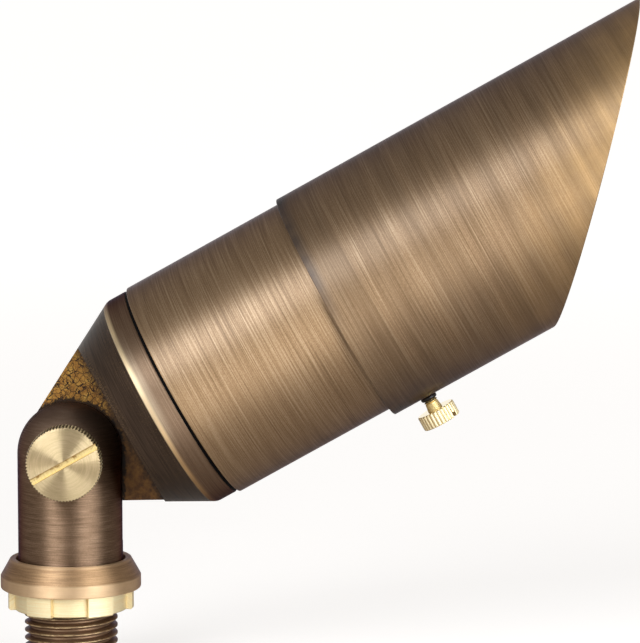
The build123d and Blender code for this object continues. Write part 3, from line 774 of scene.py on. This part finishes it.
bronze = turned_metal("bronze", BODY, BRONZE_TONES, 16, BRUSHED, coat=0.55)
shroud_bronze = turned_metal("shroud_bronze", SHROUD, SHROUD_TONES, 16, SOFT, coat=0.5, finish=shroud_finish)
cap_bronze = turned_metal("cap_bronze", BODY, BRONZE_TONES, 16, BRUSHED, coat=0.1, finish=cap_finish)
post_bronze = turned_metal("post_bronze", STEM, POST_TONES, 5, (0.56, 0.46), post_spread, 0.1, post_finish)
collar_bronze = turned_metal("collar_bronze", STEM, COLLAR_TONES, 6, BRUSHED, finish=collar_finish)
thread_bronze = turned_metal("thread_bronze", STEM, THREAD_TONES, 5, SATIN, 0.5, finish=thread_finish)
nut_brass = turned_metal("nut_brass", STEM, PALE_BRASS_TONES, 5, (0.58, 0.50), 0.0, 0.3)
knob_brass = turned_metal("knob_brass", KNOB, BRASS_TONES, 3, (0.38, 0.32), 0.98, 0.4, knob_finish)
slot_brass = turned_metal("slot_brass", KNOB, GOLDEN_TONES, 3, SATIN, 0.0, 0.0, slot_finish)
screw_brass = turned_metal("screw_brass", SCREW, GOLDEN_TONES, 3, (0.60, 0.52), 0.0, 0.0, screw_finish)
faced_brass = turned_metal("faced_brass", SCREW, PALE_BRASS_TONES, 3, MIRROR, 0.0, 0.0, edge=WHITE_EDGE)
amber_crackle = crackle_surface()

# Materials of the other pieces: dark and light tone, range of roughness, constant inputs
METAL = {"Metallic": 1.0}
GLASS = {"Transmission Weight": 1.0, "IOR": 1.5}
ACRYLIC = {"Transmission Weight": 1.0, "IOR": 1.49}
DULL = {"Specular IOR Level": 0.05}
WAXY = {"Specular IOR Level": 0.3}
looks = {
    "ring_brass": turned_metal("ring_brass", BODY, BRASS_TONES, 10, SATIN, 0.6, 0.0),
    "board_white": board_surface(),
}
for name, dark, light, gloss, inputs in (
    ("black_rubber", (0.0012, 0.001, 0.001), (0.003, 0.0026, 0.0025), (0.6, 0.75), DULL),
    ("glossy_rubber", (0.006, 0.004, 0.003), (0.012, 0.008, 0.006), (0.25, 0.35), WAXY),
    ("nylon", (0.02, 0.02, 0.02), (0.03, 0.03, 0.03), (0.4, 0.5), {}),
    ("lamp_aluminium", (0.62, 0.63, 0.65), (0.72, 0.73, 0.75), (0.35, 0.5), METAL),
    ("plated_steel", (0.5, 0.5, 0.51), (0.6, 0.6, 0.61), (0.25, 0.35), METAL),
    ("lamp_plastic", (0.72, 0.72, 0.7), (0.78, 0.78, 0.76), (0.3, 0.4), {}),
    ("socket_ceramic", (0.74, 0.71, 0.64), (0.80, 0.77, 0.70), (0.25, 0.35), {}),
    ("lead_insulation", (0.03, 0.03, 0.03), (0.045, 0.045, 0.045), (0.45, 0.55), {}),
    ("lens_glass", (0.95, 0.97, 0.96), (0.98, 0.99, 0.985), (0.0, 0.02), GLASS),
    ("optic_clear", (0.94, 0.95, 0.96), (0.97, 0.98, 0.99), (0.04, 0.08), ACRYLIC),
):
    looks[name] = plain_surface(name, dark, light, gloss, inputs)

# Stem: a post with a domed top, cut away for the half-lap, and the pipe thread under it
dome = [(PIVOT.z + post_radius, 0)]
for step in range(1, DOME_STEPS + 1):
    drop = math.pi / 2 * step / DOME_STEPS
    dome.append((PIVOT.z + post_radius * math.cos(drop), post_radius * math.sin(drop)))
post = lathe("post", STEM, [
    *dome,
    (post_bottom + post_chamfer, post_radius),
    (post_bottom, post_radius - post_chamfer),
    (post_bottom, wire_bore_radius),
    (wire_bore_top, wire_bore_radius),
    (wire_bore_top, 0),
], closed=False)
far = 3 * post_radius
lap_plan = ((-far, lap_face), (far, lap_face), (far, far), (-far, far))
cut(post, prism("lap", STEM, lap_plan, lap_floor, lap_floor + far))
spot_drill = [(spot_face, 0), (spot_face, spot_face_radius), (far, spot_face_radius), (far, 0)]
cut(post, lathe("spot_face", KNOB, spot_drill, closed=False))
soften(post, post_edge)
dress(post, "base", [post_bronze], "knuckle_post")


def pipe_thread(name, place, low, high):
    """Helical thread with flattened crests and roots, closed by a bore and chamfered at its lower end."""
    crest = thread_flat + thread_flank
    profile = (
        (0.0, thread_root),
        (thread_flat, thread_root),
        (crest, thread_radius),
        (crest + thread_flat, thread_radius),
        (2 * crest, thread_root),
    )
    columns = THREAD_COLUMNS
    turns = math.ceil((high - low) / thread_pitch) + 1
    work = bmesh.new()
    grid = []
    for column in range(columns):
        angle = 2 * math.pi * column / columns
        line = []
        for turn in range(-1, turns):
            for share, radius in profile:
                height = low + (turn + share + column / columns) * thread_pitch
                radius = min(radius, thread_root + max(height - low, 0))
                line.append(work.verts.new((radius * math.cos(angle), radius * math.sin(angle), height)))
        grid.append(line)
    for column in range(columns):
        here = grid[column]
        after = grid[(column + 1) % columns]
        skip = len(profile) if column == columns - 1 else 0
        for row in range(len(here) - 1 - skip):
            work.faces.new((here[row], after[row + skip], after[row + skip + 1], here[row + 1]))
    bore_edges = []
    for height, outward in ((low, -1), (high, 1)):
        whole = [*work.verts, *work.edges, *work.faces]
        level = (0, 0, height)
        bmesh.ops.bisect_plane(work, geom=whole, plane_co=level, plane_no=(0, 0, outward), clear_outer=True)
        rim = []
        for edge in work.edges:
            off_level = max(abs(vertex.co.z - height) for vertex in edge.verts)
            if edge.is_boundary and off_level < SAME_HEIGHT:
                rim.append(edge)
        for item in bmesh.ops.extrude_edge_only(work, edges=rim)["geom"]:
            if isinstance(item, bmesh.types.BMVert):
                item.co.xy = item.co.xy.normalized() * wire_bore_radius
            elif isinstance(item, bmesh.types.BMEdge):
                bore_edges.append(item)
    bmesh.ops.bridge_loops(work, edges=bore_edges)
    return new_piece(name, place, work)


stem_thread = pipe_thread("stem_thread", STEM, 0, post_bottom)
dress(stem_thread, "base", [thread_bronze])

# Base collar: a coned ring with a plain band below
collar = lathe("collar", STEM, rounded([
    (collar_bottom, seat_radius, 0),
    (collar_bottom, collar_radius, collar_foot_rounding),
    (collar_bottom + collar_band, collar_radius, collar_band_rounding),
    (collar_top, collar_bore_radius + collar_rim, collar_rim_rounding),
    (collar_top, collar_bore_radius, collar_bore_rounding),
    (post_bottom, collar_bore_radius, 0),
    (post_bottom, seat_radius, 0),
]))
dress(collar, "collar", [collar_bronze], "base_collar")


def nut_angles():
    """Columns of the nut: one pair on each flank of a lug, and even steps between them."""
    angles = []
    notch_width = lug_pitch - 2 * lug_half_angle - 2 * lug_flank
    for lug in range(lug_count):
        lug_start = lug_turn + lug * lug_pitch - lug_half_angle
        notch_start = lug_start + 2 * lug_half_angle + lug_flank
        for step in range(LUG_STEPS + 1):
            angles.append(lug_start + 2 * lug_half_angle * step / LUG_STEPS)
        for step in range(LUG_STEPS + 1):
            angles.append(notch_start + notch_width * step / LUG_STEPS)
    return angles


def nut_bend(angle, station, radius):
    """Draws the outer wall in between the lugs."""
    off_lug = abs((angle - lug_turn + lug_pitch / 2) % lug_pitch - lug_pitch / 2)
    if radius > lug_radius - 2 * lug_edge and off_lug > lug_half_angle + lug_flank / 2:
        radius -= notch_depth
    return station, radius


# Lock nut: a ring with six wrench lugs
nut = lathe("nut", STEM, [
    (nut_bottom, nut_bore_radius),
    (nut_bottom, lug_radius - lug_edge),
    (nut_bottom + lug_edge, lug_radius),
    (nut_top - lug_edge, lug_radius),
    (nut_top, lug_radius - lug_edge),
    (nut_top, nut_bore_radius),
], nut_angles(), nut_bend)
dress(nut, "nut", [nut_brass], "lock_nut")


def knurl(count, depth, rim):
    """Bend that cuts pointed teeth into whatever lies outside the rim."""
    def bend(angle, station, radius):
        share = angle * count / (2 * math.pi) % 1
        if radius > rim:
            radius -= depth * abs(2 * share - 1)
        return station, radius
    return bend


def slot_outline(width, length, angle):
    """Corners of a straight slot across the local Z."""
    along = Vector((math.cos(angle), math.sin(angle))) * length
    aside = Vector((-math.sin(angle), math.cos(angle))) * width / 2
    return (-along - aside, along - aside, along + aside, -along + aside)


# Knuckle thumb screw: knurled, slotted, and faced on the lathe to a faint crown
knob_rim = knob_radius - knob_chamfer
crown = []
for step in range(CROWN_STEPS, -1, -1):
    share = step / CROWN_STEPS
    crown.append((knob_face - knob_crown * share ** 2, knob_rim * share))
knob_teeth = knurl(knob_tooth_count, knob_tooth_depth, knob_radius - 1.5 * knob_chamfer)
knob = lathe("knob", KNOB, [
    (knob_tip, 0),
    (knob_tip, knob_shank_radius),
    (knob_shoulder_start, knob_shank_radius),
    (knob_shoulder_start, knob_shoulder_radius),
    (knob_start, knob_shoulder_radius),
    (knob_start, knob_radius - knob_back_chamfer),
    (knob_start + knob_back_chamfer, knob_radius),
    (knob_face - knob_crown - knob_chamfer, knob_radius),
    *crown,
], even_angles(4 * knob_tooth_count), knob_teeth, closed=False)
cut(knob, prism("knob_slot", KNOB, slot_outline(knob_slot_width, 2 * knob_radius, knob_slot_angle),
                knob_face - knob_slot_depth, knob_face + knob_slot_depth))
# The walls and floor of the slot get their own brass, with dirt spots and a painted shadow along its upper edge
for polygon in knob.data.polygons:
    spot = KNOB.inverted() @ polygon.center
    across = spot.y * math.cos(knob_slot_angle) - spot.x * math.sin(knob_slot_angle)
    in_width = abs(across) < 0.51 * knob_slot_width
    in_depth = knob_face - 1.01 * knob_slot_depth < spot.z < knob_face - 0.01 * MM
    if in_width and in_depth:
        polygon.material_index = 1
dress(knob, "knuckle_screw", [knob_brass, slot_brass], "knuckle_thumb_screw", 20)

# Rear cap: banded cone with a rounded tail, milled to half its thickness at the knuckle
tail = [(cap_tail, 0)]
for step in range(1, TAIL_STEPS):
    swing = (math.pi / 2 - cone_angle) * step / TAIL_STEPS
    tail.append((-tail_radius * math.cos(swing), tail_radius * math.sin(swing)))
cap = lathe("cap", BODY, [
    *tail,
    *rounded([
        (-tail_radius * math.sin(cone_angle), tail_radius * math.cos(cone_angle), 0),
        (band_rear, band_radius, band_rounding),
        (cap_front - gasket_clearance, band_radius, cap_rounding),
        (cap_front - gasket_clearance, spigot_radius, 0),
        (spigot_end, spigot_radius, cap_rounding),
        (spigot_end, cavity_radius, cap_rounding),
        (cavity_floor, cavity_radius, 0),
        (cavity_floor, 0, 0),
    ]),
], closed=False)
PLAN = local_frame(PIVOT, BODY.to_3x3().col[0], BODY_AXIS)
far_side = -2 * band_radius
draft_run = (tab_face - far_side) * math.tan(shoulder_draft)
cut(cap, prism("cap_lap", PLAN, (
    (2 * cap_tail, tab_face),
    (shoulder_station, tab_face),
    (shoulder_station + draft_run, far_side),
    (2 * cap_tail, far_side),
), -2 * band_radius, 2 * band_radius))
soften(cap, cap_edge)
# The tab's milled face keeps its lacquer
for polygon in cap.data.polygons:
    if polygon.normal.y < -0.99 and polygon.center.y > 0:
        polygon.material_index = 1
dress(cap, "head", [cap_bronze, amber_crackle], "rear_cap")


def open_seam(angle, station, radius):
    """Lets the barrel's rear edge stand off the cap, most at the underside."""
    if station < barrel_rear + 1 * MM:
        station += seam_relief * (1.5 - math.cos(angle))
    return station, radius


# Barrel: the lamp housing's tube with a lip that holds the lens
barrel = lathe("barrel_tube", BODY, rounded([
    (barrel_rear, barrel_bore_radius, barrel_bore_rounding),
    (barrel_rear, barrel_radius, barrel_rear_rounding),
    (barrel_front, barrel_radius, barrel_front_rounding),
    (barrel_front, lip_radius, barrel_front_rounding),
    (lip_rear, lip_radius, 0),
    (lip_rear, barrel_bore_radius, 0),
]), bend=open_seam)
dress(barrel, "housing", [bronze], "barrel")


def lean(angle, station, radius):
    """Tilts the rows at the mouth to the slanted cut."""
    if station > (shroud_rear + shroud_mouth) / 2:
        station += radius * math.cos(angle) * shroud_slope
    return station, radius


# Glare shroud: a tube cut off on a slant
shroud = lathe("shroud_tube", SHROUD, rounded([
    (shroud_rear, shroud_bore_radius, shroud_edge),
    (shroud_rear, shroud_radius, shroud_edge),
    (shroud_mouth, shroud_radius, shroud_edge),
    (shroud_mouth, shroud_bore_radius, shroud_edge),
]), even_angles(FINE_COLUMNS), lean)
dress(shroud, "glare_shroud", [shroud_bronze], "shroud")


def flutes(angle, station, radius):
    """Cuts round-bottomed flutes into the head's wall."""
    across = abs(angle * flute_count / (2 * math.pi) % 1 - 0.5) * 2
    if radius > screw_radius - screw_edge / 2 and across < flute_share:
        radius -= flute_depth * math.sqrt(1 - (across / flute_share) ** 2)
    return station, radius


# Shroud thumb screw: flared neck and a fluted, slotted head
screw = lathe("shroud_screw", SCREW, [
    (screw_tip, 0),
    (screw_tip, screw_shank_radius),
    (screw_shoulder_start, screw_shank_radius),
    *rounded([
        (screw_shoulder_start, screw_shoulder_radius, screw_shoulder_rounding),
        (screw_neck_start - screw_groove_width, screw_shoulder_radius, screw_shoulder_rounding),
        (screw_neck_start - screw_groove_width / 2, screw_groove_radius, 0),
        (screw_neck_start, screw_neck_radius, screw_neck_rounding),
        (screw_head_start, screw_neck_end_radius, 0),
        (screw_head_start, screw_radius - screw_edge, 0),
        (screw_head_start + screw_edge, screw_radius, 0),
        (screw_face - screw_edge, screw_radius, 0),
        (screw_face, screw_radius - screw_edge, 0),
    ]),
    (screw_face, 0),
], even_angles(8 * flute_count), flutes, closed=False)
cut(screw, prism("screw_slot", SCREW, slot_outline(screw_slot_width, 2 * screw_radius, screw_slot_angle),
                 screw_face - screw_slot_depth, screw_face + screw_slot_depth))
# The head's rear face is turned bright
for polygon in screw.data.polygons:
    spot = SCREW.inverted() @ polygon.center
    if abs(spot.z - screw_head_start) < 0.01 * MM:
        polygon.material_index = 1
dress(screw, "shroud_screw", [screw_brass, faced_brass], "shroud_thumb_screw", 40)

# O-ring under that screw
ring_section = []
for angle in even_angles(RING_SECTION_STEPS):
    ring_section.append((
        (ring_low + ring_high) / 2 + (ring_high - ring_low) / 2 * math.sin(angle),
        (ring_inner + ring_outer) / 2 + (ring_outer - ring_inner) / 2 * math.cos(angle),
    ))
o_ring = lathe("screw_ring", SCREW, ring_section, even_angles(RING_COLUMNS))
dress(o_ring, "screw_o_ring", [looks["glossy_rubber"]], "shroud_screw_o_ring")

# Lamp optic: a hollow collimator with rings of small prisms on its front
prism_pitch = (optic_radius - optic_rim) / (prism_count + 1)
prisms = []
for ring in range(prism_count, 0, -1):
    prisms.append((optic_front, (ring + 1) * prism_pitch))
    prisms.append((optic_front - prism_depth, ring * prism_pitch + prism_flank))
lamp_optic = lathe("optic_rings", BODY, [
    (optic_rear + optic_hollow_depth, 0),
    (optic_rear, chip_radius),
    (optic_rear, optic_rear_radius),
    ((optic_rear + optic_front) / 2, optic_radius),
    (optic_front, optic_radius),
    *prisms,
    (optic_front, prism_pitch),
    (optic_front, 0),
], closed=False)
dress(lamp_optic, "head", [looks["optic_clear"]], "lamp_optic", 15)

# Solids that keep their own shape
for node, look in {
    "knuckle_washer": "nylon",
    "knuckle_seal": "black_rubber",
    "cap_gasket": "black_rubber",
    "lens": "lens_glass",
    "lens_gasket": "black_rubber",
    "lens_retaining_ring": "ring_brass",
    "lamp_heat_sink": "lamp_aluminium",
    "lamp_base": "lamp_plastic",
    "lamp_pins": "plated_steel",
    "lamp_led_board": "board_white",
    "lamp_socket": "socket_ceramic",
    "socket_bracket": "plated_steel",
    "bracket_screws": "plated_steel",
    "socket_leads": "lead_insulation",
    "wire_seal": "black_rubber",
}.items():
    nodes[node].material_slots[0].material = looks[look]

# Camera, fitted to the photograph
CAMERA_PLACE = Vector((68.943, -803.178, 174.997)) * MM
CAMERA_YAW = math.radians(-0.8362)
CAMERA_PITCH = math.radians(6.7227)
FOCAL_PIXELS = 3554.294
IMAGE_HEIGHT = 643
lens_data = bpy.data.cameras.new("camera")
lens_data.sensor_width = 36
lens_data.lens = lens_data.sensor_width * FOCAL_PIXELS / IMAGE_HEIGHT
camera = bpy.data.objects.new("camera", lens_data)
bpy.context.scene.collection.objects.link(camera)
gaze = Vector((
    math.sin(CAMERA_YAW) * math.cos(CAMERA_PITCH),
    math.cos(CAMERA_YAW) * math.cos(CAMERA_PITCH),
    -math.sin(CAMERA_PITCH),
))
camera.location = CAMERA_PLACE
camera.rotation_euler = gaze.to_track_quat("-Z", "Y").to_euler()
bpy.context.scene.camera = camera

# Two soft lamps; azimuths count to the right of the camera's side, brightness 1 is plain white
OBJECT_CENTRE = (Vector(cad_box[0]) + Vector(cad_box[1])) / 2
LIGHT_DISTANCE = 0.9
LAMP_WHITE = (0.93, 1.0, 1.09)


def softbox(name, azimuth, elevation, width, height, brightness):
    """Area light that faces the object, with its width along the body."""
    side = math.radians(azimuth)
    rise = math.radians(elevation)
    away = Vector((math.sin(side) * math.cos(rise), -math.cos(side) * math.cos(rise), math.sin(rise)))
    data = bpy.data.lights.new(name, "AREA")
    data.shape = "RECTANGLE"
    data.size = width
    data.size_y = height
    data.energy = brightness * math.pi * width * height
    data.color = LAMP_WHITE
    light = bpy.data.objects.new(name, data)
    bpy.context.scene.collection.objects.link(light)
    light.matrix_world = local_frame(OBJECT_CENTRE + away * LIGHT_DISTANCE, away, BODY_AXIS)


softbox("left_softbox", -34, 24.5, 0.60, 0.46, 7.0)
softbox("right_softbox", 44, 7.5, 0.70, 0.95, 5.5)


def seen_white(surface, backdrop):
    """Socket that is 1 for camera rays and the backdrop's share for rays from gloss and through glass."""
    path = surface.node("ShaderNodeLightPath", {}).outputs
    mirrored = surface.math("MAXIMUM", path["Is Glossy Ray"], path["Is Transmission Ray"])
    return surface.math("MAXIMUM", path["Is Camera Ray"], surface.product(mirrored, backdrop))


# Dim room with a white backdrop behind the object
ROOM_LIGHT = 0.42
world = bpy.data.worlds.new("studio")
bpy.context.scene.world = world
room = Surface(world, "Background", {"Color": (1, 1, 1, 1)})
room_axes = room.split(room.node("ShaderNodeTexCoord", {}).outputs["Generated"])
wall = room.product(room.span(room_axes["Y"], 0.5, 0.8), room.span(room_axes["Z"], 0.15, 0.30, 1.0, 0.0))
white = seen_white(room, wall)
room.feed(room.shader, {"Strength": room.span(white, 0.0, 1.0, ROOM_LIGHT, 1.0)})

# Pale floor that keeps the object's shadow and turns into the white backdrop behind the object
FLOOR_REACH = 20.0
FLOOR_DROP = 0.2 * MM
FLOOR_GREY = (0.52, 0.48, 0.44, 1)
NEAR_GLOW = 0.60
FAR_GLOW = 0.80
floor_work = bmesh.new()
bmesh.ops.create_grid(floor_work, x_segments=1, y_segments=1, size=FLOOR_REACH)
floor = new_piece("floor", Matrix.Translation((0, 0, -FLOOR_DROP)), floor_work)
ground = new_surface("floor", {
    "Base Color": FLOOR_GREY,
    "Roughness": 0.9,
    "Specular IOR Level": 0.0,
    "Emission Color": (1, 1, 1, 1),
})
floor_spot = ground.place()
floor_depth = ground.split(floor_spot)["Y"]
floor_light = ground.span(ground.reach(floor_spot), 200, 1000, NEAR_GLOW, FAR_GLOW)
behind = ground.span(floor_depth, 100, 300)
ahead = ground.span(floor_depth, -120, -20, 0.38, 0.0)
mirrored = ground.math("MAXIMUM", behind, ahead)
glow = ground.product(seen_white(ground, mirrored), floor_light)
ground.feed(ground.shader, {"Emission Strength": glow})
floor.data.materials.append(ground.material)

bpy.context.scene.view_settings.view_transform = "Standard"
